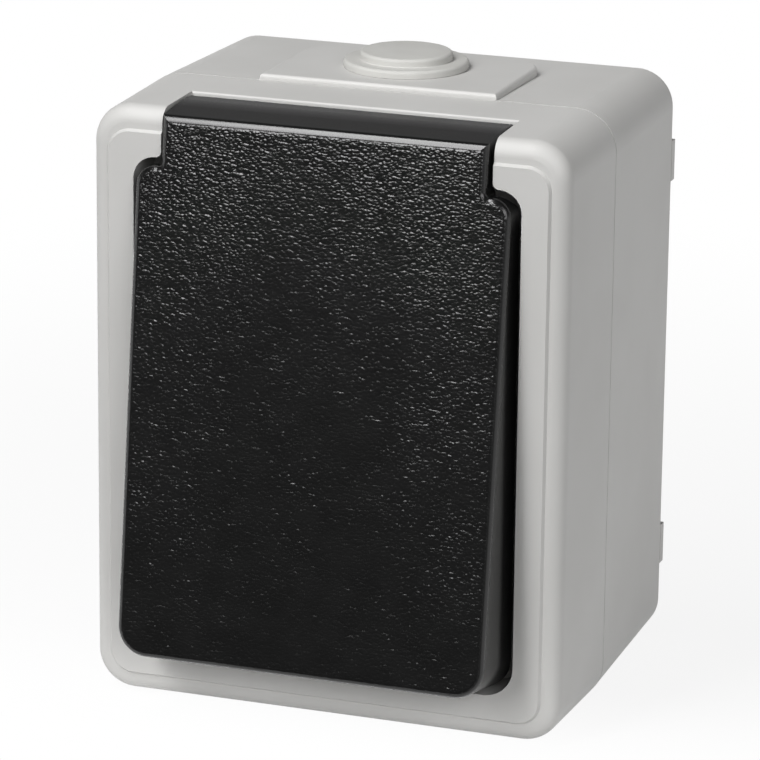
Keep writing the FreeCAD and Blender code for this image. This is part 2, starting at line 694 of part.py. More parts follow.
def lid_outer_form(body):
    """Solid flap: a broad drafted panel with a neck, a hinge roof, a chin and a tilted front."""
    rim = new_sketch(body, "flap_rim_outline", "XZ_Plane", "rim_out")
    side = "lid_width / 2 + lid_splay"
    neck = "lid_neck_width / 2"
    above = "half_height + cut_margin"
    right = [(side, "-lid_rim_bottom"), (side, "lid_shoulder"), (neck, "lid_shoulder"), (neck, above)]
    outline(rim, right + [("-(%s)" % c[0], c[1]) for c in reversed(right)])
    face_reach = "lid_rim_inset + lid_stand + lid_rim_bottom * tan(lid_tilt * 1deg)"
    pad(body, "flap_form", rim, face_reach + " + cut_margin")

    beyond = "-(rim_out + 2 * (%s))" % face_reach
    flanks = new_sketch(body, "flank_profiles", "XY_Plane")
    for mirror in ("", "-"):
        outline(flanks, [(mirror + "(%s)" % side, "-rim_out"),
                         (mirror + "(lid_width / 2 - lid_splay)", beyond),
                         (mirror + "(%s + cut_margin)" % side, beyond),
                         (mirror + "(%s + cut_margin)" % side, "-rim_out")])
    pocket(body, "flank_cuts", flanks, "2 * housing_height", middle=True)

    roof = new_sketch(body, "hinge_roof_outline", "XZ_Plane", "rim_out")
    outline(roof, block("-" + neck, neck, "lid_top - lid_roof", above))
    pad(body, "hinge_roof", roof, "lid_heel + pivot_inset - lid_rim_inset", inward=True)

    chin = new_sketch(body, "chin_profile", "YZ_Plane")
    below = "-lid_rim_bottom - cut_margin"
    outline(chin, [("-rim_out", "-lid_rim_bottom"), (beyond, "-lid_rim_bottom + 2 * lid_chin"),
                   (beyond, below), ("-rim_out", below)])
    pocket(body, "chin_cut", chin, "housing_width", middle=True)

    crown = new_sketch(body, "crown_profile", "YZ_Plane")
    heel = "-(pivot_out - lid_heel)"
    ahead = "-(front + lid_stand + cut_margin)"
    fall = "(pivot_inset + lid_stand + cut_margin) * tan(lid_crown_slope * 1deg)"
    outline(crown, [(ahead, "lid_top - " + fall), ("-pivot_out", "lid_top", "lid_crown_radius"),
                    (heel, "lid_top", "lid_heel_round"), (heel, "lid_top - lid_heel_round - root"),
                    (heel + " + cut_margin", "lid_top - lid_heel_round - root"),
                    (heel + " + cut_margin", "half_height + 2 * cut_margin"),
                    (ahead, "half_height + 2 * cut_margin")])
    cut = pocket(body, "crown_cut", crown, "housing_width", middle=True)

    low, wide = value("lid_chin - lid_bottom"), value("lid_width / 2 - lid_splay - root")
    rounded = round_edges(body, "flap_bottom_corners", cut,
                          lambda p: p.z < low and abs(p.x) > wide, "lid_corner")
    shoulder, narrow = value("lid_shoulder"), value("lid_neck_width / 2 + root")
    rounded = round_edges(body, "flap_shoulders", rounded,
                          lambda p: near(p.z, shoulder) and abs(p.x) > wide, "lid_shoulder_corner")
    round_edges(body, "flap_inner_corners", rounded,
                lambda p: near(p.z, shoulder) and abs(p.x) < narrow, "lid_inner_corner")
    cut = trim_front(body, "flap_front")
    slope = math.tan(math.radians(value("lid_tilt")))
    stand = value("front + lid_stand")
    round_edges(body, "flap_edge", cut, lambda p: near(p.y, slope * p.z - stand), "lid_edge_round")


def lid():
    """Moulded flap: tilted panel with skirt, hinge roof with knuckles, ring that carries the seal."""
    body = new_body("lid")
    slant = "1 / cos(lid_tilt * 1deg)"
    lid_outer_form(body)

    inner_face = lid_plane(body, "flap_inner_face", "lid_wall")
    side, low = "lid_width / 2 - lid_rim_wall", "-(lid_bottom - lid_rim_wall)"
    high, corner = "lid_shoulder - lid_bridge", "lid_corner - lid_rim_wall"
    inside = [(side, low, corner), (side, high, "lid_rim_wall"), ("-(%s)" % side, high, "lid_rim_wall"),
              ("-(%s)" % side, low, corner)]
    outline(inner_face, [(c[0], "(%s) * %s" % (c[1], slant), c[2]) for c in inside])
    mouth = new_sketch(body, "flap_mouth", "XZ_Plane", "rim_out - seam_gap")
    wider = [(c[0].replace("lid_width / 2", "lid_width / 2 + lid_splay"),
              c[1].replace("lid_bottom", "lid_rim_bottom"), c[2]) for c in inside]
    outline(mouth, wider)
    loft(body, "flap_hollow", inner_face, mouth, remove=True)

    ring = new_sketch(body, "seal_ring_circles", "XZ_Plane", "ring_out")
    circle(ring, "ring_radius")
    circle(ring, "ring_radius - lid_ring_wall")
    pad(body, "seal_ring", ring, "front + lid_stand + ring_radius * tan(lid_tilt * 1deg) - ring_out")
    trim_front(body, "seal_ring_front")

    ends = {"outer": "lid_neck_width / 2 - knuckle_width", "inner": "knuckle_gap / 2"}
    behind_rim, under_roof = "-(rim_out + root)", "lid_top - lid_roof + root"
    for name, near_side in ends.items():
        for side, start in (("right", near_side), ("left", "-(%s) - knuckle_width" % near_side)):
            knuckles = new_sketch(body, "%s_%s_knuckle_profile" % (name, side), "YZ_Plane", start)
            outline(knuckles, [(behind_rim, "pivot_z - knuckle"),
                               ("-(pivot_out - knuckle)", "pivot_z - knuckle", "knuckle"),
                               ("-(pivot_out - knuckle)", under_roof), (behind_rim, under_roof)])
            pad(body, "%s_%s_knuckle" % (name, side), knuckles, "knuckle_width")
    bore = new_sketch(body, "knuckle_bore_circle", "YZ_Plane")
    circle(bore, "pin_radius + knuckle_fit", "-pivot_out", "pivot_z")
    pocket(body, "knuckle_bore", bore, "lid_neck_width + cut_margin", middle=True)

    recess = new_sketch(body, "spring_recess_circle", "YZ_Plane")
    circle(recess, "spring_coil + spring_wire + spring_room", "-pivot_out", "pivot_z")
    pocket(body, "spring_recess", recess, "knuckle_gap", middle=True)

    sweep = "sqrt(pivot_inset ^ 2 + (pivot_z - opening_top) ^ 2) + lid_relief_gap"
    inner = "(lid_neck_width + notch_width) / 4"
    reach = "(lid_width / 2 + cut_margin - %s)" % inner
    for side, start in (("right", inner), ("left", "-%s - %s" % (inner, reach))):
        relief = new_sketch(body, side + "_relief_circle", "YZ_Plane", start)
        circle(relief, sweep, "-pivot_out", "pivot_z")
        pocket(body, side + "_relief", relief, reach, outward=True)
    return body


def lid_gasket():
    """Flat ring on the end of the flap's carrier ring, which closes on the well's collar."""
    body = new_body("lid_gasket")
    ring = new_sketch(body, "lid_seal_circles", "XZ_Plane", "ring_out - lid_seal_height")
    circle(ring, "ring_radius")
    circle(ring, "ring_radius - lid_seal_width")
    pad(body, "lid_seal", ring, "lid_seal_height")
    return body


def hinge_pin():
    """Steel pin through both cheeks of the cover and all knuckles of the flap."""
    body = new_body("hinge_pin")
    section = new_sketch(body, "pin_circle", "YZ_Plane")
    circle(section, "pin_radius", "-pivot_out", "pivot_z")
    pad(body, "pin", section, "notch_width + 2 * cheek", middle=True)
    return body


def lid_spring():
    """Spring of four-sided wire round the hinge pin, one leg on the flap and one on the well's floor."""
    wire = value("spring_wire")
    coil = value("spring_coil")
    length = value("spring_pitch * spring_turns")
    turns = Part.makeHelix(value("spring_pitch"), length, coil).Edges[0]
    start, along = turns.valueAt(turns.FirstParameter), turns.tangentAt(turns.FirstParameter)
    finish, away = turns.valueAt(turns.LastParameter), turns.tangentAt(turns.LastParameter)
    front_leg = start - along * value("pivot_inset - lid_rim_inset - hinge_clearance")
    back_leg = finish + away * value("heel_reach - spring_wire")
    path = Part.Wire([Part.makeLine(front_leg, start), turns, Part.makeLine(finish, back_leg)])
    side = along.cross(Vector(0, 0, 1)).normalize() * wire
    rise = along.cross(side).normalize() * wire
    section = Part.makePolygon([front_leg + side, front_leg + rise, front_leg - side, front_leg - rise,
                                front_leg + side])
    piece = doc.addObject("Part::Feature", "lid_spring")
    piece.Label = "lid_spring"
    piece.Shape = path.makePipeShell([section], True, True)
    # The coil's own Z lies along the pin and its X points down
    lay = FreeCAD.Rotation(Vector(0, 0, -1), Vector(0, 1, 0), Vector(1, 0, 0), "ZXY")
    piece.Placement = FreeCAD.Placement(Vector(-length / 2, -value("pivot_out"), value("pivot_z")), lay)
    return piece


def screw(label, head_radius, head_height, shank_radius, shank_length, places, head_out):
    """Slotted pan-head screws, each at (x, z), heads facing out: one group of separate solids."""
    screws = []
    for number, (x, z) in enumerate(places, start=1):
        head = doc.addObject("Part::Cylinder", "%s_head_%d" % (label, number))
        head.setExpression("Radius", in_sheet(head_radius))
        head.setExpression("Height", in_sheet(head_height))
        edge = doc.addObject("Part::Chamfer", "%s_head_edge_%d" % (label, number))
        edge.Base = head
        doc.recompute()
        rim = [i for i, e in enumerate(head.Shape.Edges, start=1)
               if e.Closed and near(e.Vertexes[0].Z, value(head_height))]
        corner = value("head_bevel")
        edge.Edges = [(i, corner, corner) for i in rim]
        shank = doc.addObject("Part::Cylinder", "%s_shank_%d" % (label, number))
        shank.setExpression("Radius", in_sheet(shank_radius))
        shank.setExpression("Height", in_sheet("(%s) + root" % shank_length))
        shank.setExpression("Placement.Base.z", in_sheet("-(%s)" % shank_length))
        whole = doc.addObject("Part::Fuse", "%s_whole_%d" % (label, number))
        whole.Base = edge
        whole.Tool = shank
        slot = doc.addObject("Part::Box", "%s_slot_%d" % (label, number))
        slot.setExpression("Length", in_sheet("2 * (%s) + 2 * cut_margin" % head_radius))
        slot.setExpression("Width", in_sheet("slot_width"))
        slot.setExpression("Height", in_sheet("slot_depth + cut_margin"))
        slot.setExpression("Placement.Base.x", in_sheet("-(%s) - cut_margin" % head_radius))
        slot.setExpression("Placement.Base.y", in_sheet("-slot_width / 2"))
        slot.setExpression("Placement.Base.z", in_sheet("%s - slot_depth" % head_height))
        cut = doc.addObject("Part::Cut", label if len(places) == 1 else "%s_%d" % (label, number))
        cut.Base = whole
        cut.Tool = slot
        # Local Z turns to face out of the wall
        cut.Placement = FreeCAD.Placement(Vector(0, 0, 0), FreeCAD.Rotation(Vector(1, 0, 0), 90))
        cut.setExpression("Placement.Base.x", in_sheet(x))
        cut.setExpression("Placement.Base.y", in_sheet("-(%s)" % head_out))
        cut.setExpression("Placement.Base.z", in_sheet(z))
        screws.append(cut)
    if len(screws) == 1:
        screws[0].Label = label
        return screws[0]
    group = doc.addObject("Part::Compound", label)
    group.Label = label
    group.Links = screws
    return group


def collar_seal():
    """Flat ring round the well's collar, between its rib and the back of the tray."""
    body = new_body("collar_seal")
    ring = new_sketch(body, "collar_seal_circles", "XZ_Plane", "tray_back - collar_seal_height")
    circle(ring, "collar_radius + collar_rib")
    circle(ring, "collar_radius + entry_fit")
    pad(body, "collar_seal_ring", ring, "collar_seal_height")
    return body


def socket_insert():
    """Moulded plug well: collar, floor with two pin holes, guide lugs, earth slots and fixing ears."""
    body = new_body("socket_insert")
    cup = new_sketch(body, "cup_circle", "XZ_Plane", "floor_back")
    circle(cup, "collar_radius")
    form = pad(body, "cup", cup, "collar_front - floor_back")
    mouth = -value("collar_front")
    round_edges(body, "collar_edge", form, lambda p: near(p.y, mouth), "collar_bevel",
                "PartDesign::Chamfer")
    rib = new_sketch(body, "rib_circle", "XZ_Plane",
                     "tray_back - collar_seal_height - collar_rib_height")
    circle(rib, "collar_radius + collar_rib")
    pad(body, "collar_rib", rib, "collar_rib_height")
    ears = new_sketch(body, "ear_outline", "XZ_Plane", "floor_back")
    outline(ears, centred("ear_reach", "ear_width / 2", "ear_corner"))
    pad(body, "ears", ears, "ear_thickness")
    well = new_sketch(body, "well_circle", "XZ_Plane", "collar_front")
    circle(well, "well_radius")
    pocket(body, "well", well, "well_depth")

    guides = new_sketch(body, "guide_outlines", "XZ_Plane", "well_bottom")
    for side in ("", "-"):
        inner, outer = side + "(well_radius - guide_height)", side + "(well_radius + collar_wall / 2)"
        outline(guides, block(inner, outer, "-guide_width / 2", "guide_width / 2"))
    pad(body, "guides", guides, "well_depth - guide_setback")

    pins = new_sketch(body, "pin_hole_circles", "XZ_Plane", "well_bottom")
    for side in ("", "-"):
        circle(pins, "pin_hole", side + "pin_spacing / 2")
    pocket(body, "pin_holes", pins, "well_floor + cut_margin")
    slots = new_sketch(body, "earth_slot_outlines", "XZ_Plane", "well_bottom")
    for side in ("", "-"):
        outer = "%s(earth_leg_z + earth_thickness / 2 + earth_slot_fit)" % side
        inner = "%s(earth_leg_z - earth_thickness / 2 - earth_slot_fit)" % side
        outline(slots, block("-(earth_width / 2 + earth_slot_fit)", "earth_width / 2 + earth_slot_fit",
                             inner, outer))
    pocket(body, "earth_slots", slots, "well_floor + cut_margin")
    ear_holes = new_sketch(body, "ear_hole_circles", "XZ_Plane", "floor_back + ear_thickness")
    for side in ("", "-"):
        circle(ear_holes, "ear_screw + ear_screw_clearance", side + "ear_screw_x")
    pocket(body, "ear_holes", ear_holes, "ear_thickness + cut_margin")
    centre = new_sketch(body, "centre_hole_circle", "XZ_Plane", "well_bottom")
    circle(centre, "centre_screw + centre_screw_clearance")
    pocket(body, "centre_hole", centre, "well_floor + cut_margin")
    sink = new_sketch(body, "centre_sink_circle", "XZ_Plane", "well_bottom")
    circle(sink, "centre_head + 2 * centre_screw_clearance")
    pocket(body, "centre_sink", sink, "centre_head_height + centre_head_sink")
    return body


def earth_strap():
    """Folded strip: a bar behind the well's floor, two bowed legs inside the well and a side tail."""
    body = new_body("earth_strap")
    fold = new_sketch(body, "strap_profile", "YZ_Plane")
    back = "-strap_back"
    face = "-floor_back"
    tip = "-(collar_front - earth_tip_inset)"
    root = "-(well_bottom + earth_root)"
    crest = "-(well_bottom + earth_root + collar_front - earth_tip_inset) / 2"
    outer = "earth_leg_z + earth_thickness / 2"
    inner = "earth_leg_z - earth_thickness / 2"
    upper = [(back, outer), (root, outer, "earth_root_bend"),
             (crest, outer + " - earth_bulge", "earth_crest_bend + earth_thickness"), (tip, outer),
             (tip, inner), (crest, inner + " - earth_bulge", "earth_crest_bend"),
             (root, inner, "earth_root_bend + earth_thickness"), (face, inner)]
    lower = [(c[0], "-(%s)" % c[1]) + c[2:] for c in reversed(upper)]
    outline(fold, upper + lower)
    pad(body, "strap_bar", fold, "earth_width", middle=True)
    tail = new_sketch(body, "earth_tail_outline", "XZ_Plane", "strap_back")
    outline(tail, block("0", "terminal_x + terminal_width / 2", "-terminal_z - earth_tail_width / 2",
                        "-terminal_z + earth_tail_width / 2"))
    pad(body, "earth_tail", tail, "earth_thickness")
    hole = new_sketch(body, "strap_hole_circles", "XZ_Plane", "floor_back")
    circle(hole, "centre_screw + centre_screw_clearance")
    circle(hole, "terminal_screw + pilot_fit", "terminal_x", "-terminal_z")
    pocket(body, "strap_holes", hole, "earth_thickness + cut_margin")
    return body


def contact_carrier():
    """Moulded block behind the floor, with a chamber for each contact and a core for the screw."""
    body = new_body("contact_carrier")
    form = new_sketch(body, "carrier_outline", "XZ_Plane", "carrier_back")
    outline(form, centred("carrier_width / 2", "carrier_height / 2", "carrier_corner"))
    pad(body, "carrier_form", form, "carrier_depth")
    chambers = new_sketch(body, "chamber_outlines", "XZ_Plane", "floor_back")
    for side in ("", "-"):
        inner, outer = side + "carrier_core", side + "(carrier_width / 2 - carrier_wall)"
        outline(chambers, block(inner, outer, "-(carrier_height / 2 - carrier_wall)",
                                "carrier_height / 2 - carrier_wall"))
    pocket(body, "chambers", chambers, "carrier_depth + cut_margin")
    channel = new_sketch(body, "strap_channel_outline", "XZ_Plane", "floor_back")
    half = "earth_width / 2 + earth_slot_fit"
    outline(channel, centred(half, "carrier_height / 2 + cut_margin"))
    pocket(body, "strap_channel", channel, "earth_thickness")
    exits = new_sketch(body, "strip_exit_outline", "XZ_Plane", "carrier_back")
    for side in ("", "-"):
        inner = side + "(carrier_width / 2 - carrier_wall - cut_margin)"
        outer = side + "(carrier_width / 2 + cut_margin)"
        outline(exits, block(inner, outer, "-strip_width / 2 - strip_exit_room",
                             "strip_width / 2 + strip_exit_room"))
    pocket(body, "strip_exits", exits, "strip_out + strip_thickness + strip_exit_room - carrier_back",
           outward=True)
    pilot = new_sketch(body, "centre_pilot_circle", "XZ_Plane", "floor_back")
    circle(pilot, "centre_screw + pilot_fit")
    pocket(body, "centre_pilot_cut", pilot, "earth_thickness + centre_screw_grip + pilot_spare")
    return body


def carrier_cover():
    """Insulating plate that closes the back of the carrier."""
    body = new_body("carrier_cover")
    form = new_sketch(body, "carrier_cover_outline", "XZ_Plane", "carrier_back - carrier_lid")
    outline(form, centred("carrier_width / 2", "carrier_height / 2", "carrier_corner"))
    pad(body, "carrier_plate", form, "carrier_lid")
    return body


def contact(label, side):
    """Brass contact: a slit sleeve that grips the plug's pin and a strip out to the terminal."""
    body = new_body(label)
    jaw_x = side + "pin_spacing / 2"
    jaw_outer = "jaw_bore + jaw_wall"
    sleeve = new_sketch(body, label + "_sleeve_circles", "XZ_Plane", "strip_out")
    circle(sleeve, jaw_outer, jaw_x)
    circle(sleeve, "jaw_bore", jaw_x)
    pad(body, label + "_sleeve", sleeve, "jaw_length")
    slit = new_sketch(body, label + "_slit_outline", "XZ_Plane", "strip_out + jaw_length + cut_margin")
    middle = side + "pin_spacing / 2"
    outline(slit, block(middle + " - jaw_slit / 2", middle + " + jaw_slit / 2",
                        "-(%s + cut_margin)" % jaw_outer, "%s + cut_margin" % jaw_outer))
    pocket(body, label + "_slit", slit, "jaw_length + cut_margin - jaw_root")
    strip = new_sketch(body, label + "_strip_outline", "XZ_Plane", "strip_out - strip_thickness")
    low = "-strip_width / 2"
    high = "strip_width / 2"
    near_end = side + "(pin_spacing / 2 - jaw_bore - jaw_wall)"
    inner_end = side + "(carrier_width / 2 + strip_side_gap)"
    bend = side + "(terminal_x - terminal_width / 2)"
    far_end = side + "(terminal_x + terminal_width / 2)"
    foot = "terminal_z - terminal_height / 2"
    tip = "terminal_z + terminal_height / 2"
    outline(strip, [(near_end, low), (bend, low, "strip_bend"), (bend, foot), (far_end, foot),
                    (far_end, tip), (inner_end, tip, "strip_bend"), (inner_end, high, "strip_bend / 2"),
                    (near_end, high)])
    circle(strip, "jaw_bore", jaw_x)
    pad(body, label + "_strip", strip, "strip_thickness")
    return body


def terminal(label, side_x, side_z, seat, strap_side):
    """Brass clamp block with a wire hole along Z and a threaded screw hole from the front."""
    body = new_body(label)
    form = new_sketch(body, label + "_outline", "XZ_Plane", seat)
    left = "%sterminal_x - terminal_width / 2" % side_x
    right = "%sterminal_x + terminal_width / 2" % side_x
    low = "%sterminal_z - terminal_height / 2" % side_z
    high = "%sterminal_z + terminal_height / 2" % side_z
    outline(form, block(left, right, low, high, "terminal_corner"))
    pad(body, label + "_block", form, "terminal_depth", inward=strap_side)
    middle = "(%s) %s terminal_depth / 2" % (seat, "-" if strap_side else "+")
    wire = new_sketch(body, label + "_wire_circle", "XY_Plane", low + " - cut_margin")
    circle(wire, "wire_hole", side_x + "terminal_x", "-(%s)" % middle)
    pocket(body, label + "_wire_hole", wire, "terminal_height + 2 * cut_margin", outward=True)
    bore = new_sketch(body, label + "_bore_circle", "XZ_Plane", "(%s) + %s" % (
        seat, "0" if strap_side else "terminal_depth"))
    circle(bore, "terminal_screw + pilot_fit", side_x + "terminal_x", side_z + "terminal_z")
    pocket(body, label + "_bore", bore, "terminal_depth / 2")
    return body


def check_document(pieces):
    """Stop before anything is written if a feature failed or a piece has no valid shape."""
    doc.recompute()
    failed = [item.Name for item in doc.Objects if {"Invalid", "Error"} & set(item.State)]
    bad = [piece.Label for piece in pieces
           if piece.Shape.isNull() or not piece.Shape.isValid() or not piece.Shape.Solids]
    if failed or bad:
        raise RuntimeError("failed features: %s; bad shapes: %s" % (failed, bad))


def all_pieces():
    """Build every piece of the socket in the order it is put together."""
    strip_heads = "strip_out + terminal_depth + terminal_head_lift"
    return [
        rear_base(), housing_gasket(), cable_grommet(), cover_frame(),
        lid(), lid_gasket(), hinge_pin(), lid_spring(),
        screw("cover_screws", "cover_head", "cover_head_height", "cover_screw",
              "front - opening_depth - base_depth + cover_screw_grip",
              [("cover_screw_x", "cover_screw_z"), ("-cover_screw_x", "-cover_screw_z")],
              "front - opening_depth"),
        socket_insert(), collar_seal(), earth_strap(),
        contact_carrier(), carrier_cover(),
        screw("carrier_screw", "centre_head", "centre_head_height", "centre_screw",
              "well_floor - centre_head_height - centre_head_sink + earth_thickness + centre_screw_grip",
              [("0", "0")], "well_bottom - centre_head_height - centre_head_sink"),
        contact("live_contact", "-"), contact("neutral_contact", ""),
        terminal("live_terminal", "-", "", "strip_out", False),
        terminal("neutral_terminal", "", "", "strip_out", False),
        terminal("earth_terminal", "", "-", "strap_back", True),
        screw("live_screw", "terminal_head", "terminal_head_height", "terminal_screw",
              "terminal_screw_length", [("-terminal_x", "terminal_z")], strip_heads),
        screw("neutral_screw", "terminal_head", "terminal_head_height", "terminal_screw",
              "terminal_screw_length", [("terminal_x", "terminal_z")], strip_heads),
        screw("earth_screw", "terminal_head", "terminal_head_height", "terminal_screw",
              "terminal_screw_length", [("terminal_x", "-terminal_z")],
              "floor_back + centre_head_sink"),
        screw("insert_screws", "ear_head", "ear_head_height", "ear_screw",
              "ear_thickness + ear_screw_grip", [("ear_screw_x", "0"), ("-ear_screw_x", "0")],
              "floor_back + ear_thickness"),
    ]


fill_sheet()
pieces = all_pieces()
check_document(pieces)
os.makedirs("parts", exist_ok=True)
for piece in pieces:
    piece.Shape.exportStep("parts/%s.step" % piece.Label)
    print("%-18s solids %d volume %9.1f" % (piece.Label, len(piece.Shape.Solids), piece.Shape.Volume))
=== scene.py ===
"""Looks of a surface-mounted weatherproof socket: grey housing, black sprung flap, plug well behind it."""

import math

import bpy
import numpy as np
from mathutils import Matrix, Vector


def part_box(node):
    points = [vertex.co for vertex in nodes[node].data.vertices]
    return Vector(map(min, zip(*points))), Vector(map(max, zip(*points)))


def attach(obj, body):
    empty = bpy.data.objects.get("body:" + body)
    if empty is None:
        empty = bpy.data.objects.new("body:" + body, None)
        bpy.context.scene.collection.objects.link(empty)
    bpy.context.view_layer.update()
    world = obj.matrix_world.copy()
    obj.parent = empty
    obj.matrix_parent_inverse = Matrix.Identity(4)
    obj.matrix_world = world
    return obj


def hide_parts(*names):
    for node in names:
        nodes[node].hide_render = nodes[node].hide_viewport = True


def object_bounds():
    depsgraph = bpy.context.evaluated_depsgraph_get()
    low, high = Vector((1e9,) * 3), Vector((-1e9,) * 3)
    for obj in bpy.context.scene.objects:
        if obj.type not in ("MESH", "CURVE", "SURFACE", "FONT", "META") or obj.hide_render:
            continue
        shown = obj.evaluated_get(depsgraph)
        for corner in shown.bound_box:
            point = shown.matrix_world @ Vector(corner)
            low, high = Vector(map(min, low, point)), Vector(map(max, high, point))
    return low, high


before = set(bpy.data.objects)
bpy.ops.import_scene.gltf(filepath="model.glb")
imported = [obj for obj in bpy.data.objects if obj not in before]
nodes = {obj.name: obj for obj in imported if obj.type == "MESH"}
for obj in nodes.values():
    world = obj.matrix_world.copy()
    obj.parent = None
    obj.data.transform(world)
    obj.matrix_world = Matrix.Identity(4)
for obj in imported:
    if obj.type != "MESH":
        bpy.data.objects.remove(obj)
cad_box = [list(corner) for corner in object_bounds()]

# The photograph's view: the camera stands a little above the socket and to its right,
# far off, so the box's edges stay nearly parallel.
PHOTO_SIDE = 760
PHOTO_FOCAL_PIXELS = 4519.3
SENSOR = 36.0
VIEW_AZIMUTH = math.radians(19.353)
VIEW_ELEVATION = math.radians(16.450)
VIEW_ROLL = math.radians(0.635)
VIEW_DISTANCE = 0.58774
VIEW_SHIFT_RIGHT = -0.007422
VIEW_SHIFT_UP = -0.006088
AIM = Vector((0.0, -0.049, 0.0))

towards_camera = Vector((
    math.sin(VIEW_AZIMUTH) * math.cos(VIEW_ELEVATION),
    -math.cos(VIEW_AZIMUTH) * math.cos(VIEW_ELEVATION),
    math.sin(VIEW_ELEVATION),
))
level_right = Vector((math.cos(VIEW_AZIMUTH), math.sin(VIEW_AZIMUTH), 0.0))
level_up = towards_camera.cross(level_right)
picture_right = math.cos(VIEW_ROLL) * level_right + math.sin(VIEW_ROLL) * level_up
picture_up = math.cos(VIEW_ROLL) * level_up - math.sin(VIEW_ROLL) * level_right
camera_place = (
    AIM + VIEW_DISTANCE * towards_camera - VIEW_SHIFT_RIGHT * picture_right - VIEW_SHIFT_UP * picture_up
)

camera = bpy.data.objects.new("camera", bpy.data.cameras.new("camera"))
camera.data.sensor_width = SENSOR
camera.data.lens = PHOTO_FOCAL_PIXELS / PHOTO_SIDE * SENSOR
camera.data.clip_start = 0.01
camera.data.clip_end = 20.0
camera.matrix_world = Matrix.Translation(camera_place) @ Matrix(
    (picture_right, picture_up, towards_camera)
).transposed().to_4x4()
bpy.context.scene.collection.objects.link(camera)
bpy.context.scene.camera = camera
bpy.context.scene.view_settings.view_transform = "Standard"


# The room: a dim studio that is darkest in front and overhead, so black plastic stays black, with a low
# white sweep round its back and sides, which shows in gloss. The camera sees white all round.
# A pair of shares is how far forward or up a direction points where a zone begins, and where it is full.
SWEEP_WHITE = 1.0
ROOM_LEVEL = 0.26
FRONT_LEVEL = 0.08
OVERHEAD_LEVEL = 0.05
FRONT_SHARES = (0.25, 0.75)
OVERHEAD_SHARES = (0.28, 0.55)
SWEEP_TOP_SHARES = (0.08, 0.20)


class Signal:
    """A number, colour or vector on its way through a material's nodes; sums and products add Math nodes."""

    def __init__(self, tree, socket=None):
        self.tree = tree
        self.socket = socket

    def node(self, kind, settings=None, sockets=None, out=0):
        """A node of that kind: its settings are made first, then its sockets get values or links."""
        made = self.tree.nodes.new(kind)
        for name, value in (settings or {}).items():
            setattr(made, name, value)
        for name, value in (sockets or {}).items():
            if isinstance(value, Signal):
                self.tree.links.new(value.socket, made.inputs[name])
            else:
                made.inputs[name].default_value = value
        return Signal(self.tree, made.outputs[out] if len(made.outputs) else None)

    def math(self, operation, *others):
        """A Math node on this value and the others, in that order."""
        return self.node("ShaderNodeMath", {"operation": operation}, dict(enumerate((self, *others))))

    def __add__(self, other):
        return self.math("ADD", other)

    def __rsub__(self, other):
        return -self + other

    def __mul__(self, other):
        return self.math("MULTIPLY", other)

    def __neg__(self):
        return self.math("MULTIPLY", -1.0)

    __radd__ = __add__
    __rmul__ = __mul__

    def part(self, axis):
        """One coordinate of this vector, by its letter."""
        return self.node("ShaderNodeSeparateXYZ", sockets={"Vector": self}, out=axis)

    def rise(self, start, end):
        """0 below start, 1 above end, and an S-curve between them."""
        return self.node(
            "ShaderNodeMapRange",
            {"interpolation_type": "SMOOTHSTEP"},
            {"Value": self, "From Min": start, "From Max": end},
        )

    def between(self, low, high):
        """The number low + (high - low) * this."""
        return self * (high - low) + low

    def blended(self, low, high):
        """The colour low where this is 0, and high where it is 1; 6, 7 and 2 are the colour sockets."""
        return self.node(
            "ShaderNodeMix",
            {"data_type": "RGBA"},
            {"Factor": self, 6: (*low, 1.0), 7: (*high, 1.0)},
            out=2,
        )


def sees_white(start, in_reflections=1.0):
    """1 for camera and see-through rays; reflections get the given share."""
    camera_ray = start.node("ShaderNodeLightPath", out="Is Camera Ray")
    glossy_ray = start.node("ShaderNodeLightPath", out="Is Glossy Ray")
    clear_ray = start.node("ShaderNodeLightPath", out="Is Transmission Ray")
    return camera_ray.math("MAXIMUM", clear_ray).math("MAXIMUM", glossy_ray * in_reflections)


world = bpy.data.worlds.new("studio")
world.use_nodes = True
bpy.context.scene.world = world
world.node_tree.nodes.clear()
air = Signal(world.node_tree)
direction = air.node("ShaderNodeTexCoord", out="Generated")
climb = direction.part("Z")
in_front = (-direction.part("Y")).rise(*FRONT_SHARES)
overhead = climb.rise(*OVERHEAD_SHARES)
sweep = (1.0 - climb.rise(*SWEEP_TOP_SHARES)) * (1.0 - in_front)
room = ROOM_LEVEL + overhead * (OVERHEAD_LEVEL - ROOM_LEVEL)
room = room + in_front * (1.0 - overhead) * (FRONT_LEVEL - ROOM_LEVEL)
brightness = room + sees_white(air, sweep) * (SWEEP_WHITE - room)
sky = air.node("ShaderNodeBackground", sockets={"Color": (1.0, 1.0, 1.0, 1.0), "Strength": brightness})
air.node("ShaderNodeOutputWorld", sockets={"Surface": sky})


# The floor: plain white card that the socket stands on; it ends at the foot of the flap.
# It takes the socket's shadow near by, and glows as white as the sweep further out.
FLOOR_SIDE = 1.5
FLOOR_BACK = 1.5
FLOOR_FRONT = 0.065
CARD = 0.8
CARD_GLOW = 0.88
GLOW_GROWS_AROUND = (0.08, 0.24)
GLOW_GROWS_FORWARD = (0.02, 0.062)

floor_level = cad_box[0][2]
floor_corners = [
    (-FLOOR_SIDE, -FLOOR_FRONT, floor_level),
    (FLOOR_SIDE, -FLOOR_FRONT, floor_level),
    (FLOOR_SIDE, FLOOR_BACK, floor_level),
    (-FLOOR_SIDE, FLOOR_BACK, floor_level),
]
floor_mesh = bpy.data.meshes.new("floor")
floor_mesh.from_pydata(floor_corners, [], [(0, 1, 2, 3)])
floor = bpy.data.objects.new("floor", floor_mesh)
bpy.context.scene.collection.objects.link(floor)

